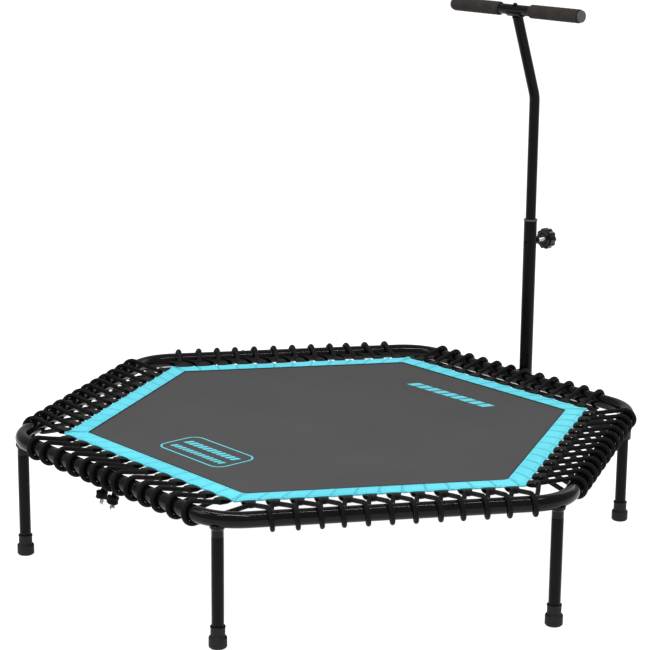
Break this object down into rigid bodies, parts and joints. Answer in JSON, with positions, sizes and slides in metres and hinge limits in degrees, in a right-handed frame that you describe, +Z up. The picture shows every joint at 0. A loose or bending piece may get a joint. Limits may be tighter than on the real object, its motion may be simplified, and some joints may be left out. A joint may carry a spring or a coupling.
{
  "type": "fitness trampoline",
  "caption": "Six-sided indoor trampoline with a fabric mat laced by bungee cord into a tube frame on short legs, and a height-adjustable T handlebar.",
  "frame": {"origin": "on the floor, at the centre of the object's outline seen from above; the hexagon's own centre is 33.2 mm towards -Y from it", "axes": "+Z up; +X along the T-bar and through two opposite corners of the hexagon; +Y towards the side that carries the handlebar mast"},
  "size_m": [1.2734, 1.2196, 1.0587],
  "materials": {
    "gloss_black_steel": "gloss black powder coat",
    "satin_black_steel": "satin black powder coat",
    "zinc_steel": "bright zinc plate",
    "black_rubber": "matte moulded rubber",
    "black_plastic": "fine-textured moulding",
    "grey_plastic": "plain moulding",
    "mat_fabric": "tight polypropylene weave, matte dark grey",
    "border_fabric": "bright cyan woven binding",
    "black_webbing": "ribbed polyester webbing",
    "bungee_sheath": "braided cord sheath",
    "grip_foam": "closed-cell foam"
  },
  "bodies": {
    "frame": {"brace_clamp_left": "black_plastic", "brace_clamp_right": "black_plastic", "brace_tube": "satin_black_steel", "bungee_run_1": "bungee_sheath", "bungee_run_2": "bungee_sheath", "bungee_run_3": "bungee_sheath", "bungee_run_4": "bungee_sheath", "bungee_run_5": "bungee_sheath", "bungee_run_6": "bungee_sheath", "foot_1": "black_rubber", "foot_2": "black_rubber", "foot_3": "black_rubber", "foot_4": "black_rubber", "foot_5": "black_rubber", "foot_6": "black_rubber", "frame_screw_1": "satin_black_steel", "frame_screw_3": "satin_black_steel", "frame_screw_4": "satin_black_steel", "frame_screw_5": "satin_black_steel", "frame_screw_6": "satin_black_steel", "frame_section_1": "gloss_black_steel", "frame_section_2": "gloss_black_steel", "frame_section_3": "gloss_black_steel", "frame_section_4": "gloss_black_steel", "frame_section_5": "gloss_black_steel", "frame_section_6": "gloss_black_steel", "leg_1": "satin_black_steel", "leg_2": "satin_black_steel", "leg_3": "satin_black_steel", "leg_4": "satin_black_steel", "leg_5": "satin_black_steel", "leg_6": "satin_black_steel", "lock_nut": "zinc_steel", "mast_bolt_lower": "zinc_steel", "mast_bolt_upper": "zinc_steel", "mast_bottom_plug": "black_plastic", "mast_collar": "grey_plastic", "mast_lower_tube": "satin_black_steel", "mast_saddle": "satin_black_steel", "mast_spacer": "satin_black_steel"},
    "mat": {"jumping_mat": "mat_fabric", "mat_border": "border_fabric", "tab_ring": "black_webbing"},
    "handlebar": {"mast_upper_tube": "satin_black_steel", "bar_saddle": "satin_black_steel", "t_bar": "gloss_black_steel", "grip_left": "grip_foam", "grip_right": "grip_foam", "bar_cap_left": "grey_plastic", "bar_cap_right": "grey_plastic", "bar_bolt": "satin_black_steel"},
    "stud": {"lock_stud": "zinc_steel"},
    "knob": {"lock_knob": "black_plastic"}
  },
  "joints": [
    {"name": "mat_bounce", "type": "slide", "parent": "frame", "child": "mat", "axis": [0, 0, 1], "range_m": [-0.14, 0.01], "stiffness_N_per_m": 7000, "springref_m": 0.0005, "deforming": ["bungee_run_1", "bungee_run_2", "bungee_run_3", "bungee_run_4", "bungee_run_5", "bungee_run_6"]},
    {"name": "handlebar_height", "type": "slide", "parent": "frame", "child": "handlebar", "axis": [0, 0, 1], "range_m": [-0.2, 0.04]},
    {"name": "stud_advance", "type": "slide", "parent": "frame", "child": "stud", "axis": [0, 1, 0], "range_m": [0, 0.0026]},
    {"name": "knob_turn", "type": "hinge", "parent": "stud", "child": "knob", "pos_m": [-0.016, 0.5918, 0.5405], "axis": [0, 1, 0], "range_deg": [0, 720]}
  ],
  "couplings": [
    {"joint": "stud_advance", "follows": "knob_turn", "m_per_rad": 0.00019894}
  ]
}
